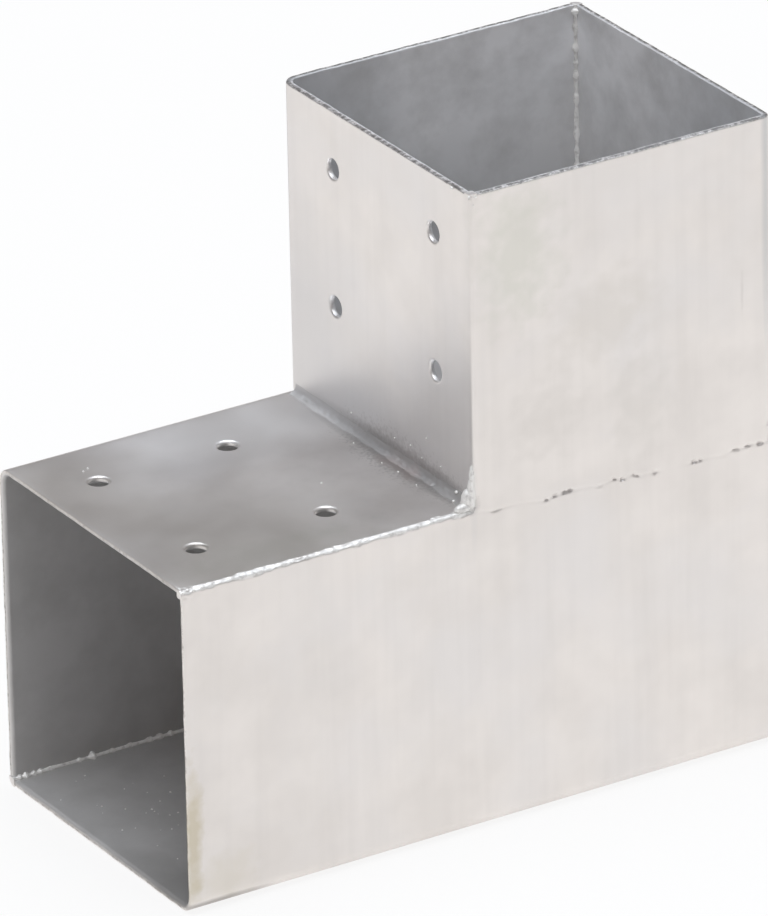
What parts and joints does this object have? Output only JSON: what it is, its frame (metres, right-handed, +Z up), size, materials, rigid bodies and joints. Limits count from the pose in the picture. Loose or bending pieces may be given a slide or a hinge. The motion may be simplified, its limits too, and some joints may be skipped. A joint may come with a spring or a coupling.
{
  "type": "l-shaped post bracket",
  "caption": "L-shaped corner bracket of galvanised steel: a lying square sleeve and a standing square sleeve, welded together, with screw holes for square timber posts.",
  "frame": {"origin": "middle of the underside of the bracket's box", "axes": "+X towards the end that carries the post sleeve, -Y is the front with the ground seam, +Z up along the post sleeve"},
  "size_m": [0.185, 0.095, 0.185],
  "materials": {
    "galvanised_sheet": "hot-dip galvanised, satin",
    "corner_weld": "galvanised weld bead, ground outside",
    "joint_weld": "galvanised weld bead, ground and pitted"
  },
  "bodies": {
    "root": {"beam_sleeve_top_back_plate": "galvanised_sheet", "beam_sleeve_front_bottom_plate": "galvanised_sheet", "post_sleeve_left_back_plate": "galvanised_sheet", "post_sleeve_front_right_plate": "galvanised_sheet", "beam_sleeve_top_front_weld": "corner_weld", "beam_sleeve_bottom_back_weld": "corner_weld", "post_sleeve_front_left_weld": "corner_weld", "post_sleeve_back_right_weld": "corner_weld", "joint_left_fillet_weld": "joint_weld", "joint_front_right_weld": "joint_weld", "joint_back_weld": "joint_weld"}
  },
  "joints": []
}
